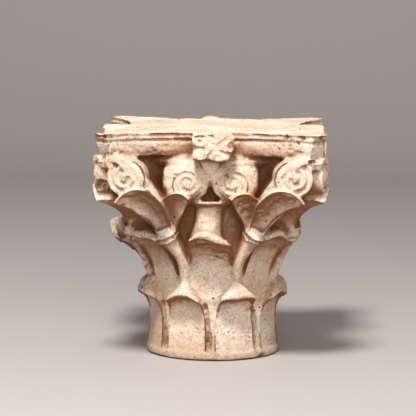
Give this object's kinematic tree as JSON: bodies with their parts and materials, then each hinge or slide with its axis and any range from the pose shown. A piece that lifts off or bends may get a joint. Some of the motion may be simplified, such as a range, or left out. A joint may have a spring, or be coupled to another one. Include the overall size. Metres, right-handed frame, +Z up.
{
  "type": "corinthian capital",
  "caption": "Worn carved limestone capital with a leafy bell, corner volutes and a square abacus with hollow sides, standing on its lower bed.",
  "frame": {"origin": "middle of the lower bed, on the surface it stands on", "axes": "+Z up along the column's axis, -Y towards the front face, +X to the front's right"},
  "size_m": [0.4606, 0.4606, 0.45],
  "materials": {
    "limestone": "dry, worn and finely pitted cream limestone"
  },
  "bodies": {
    "root": {"capital": "limestone"}
  },
  "joints": []
}
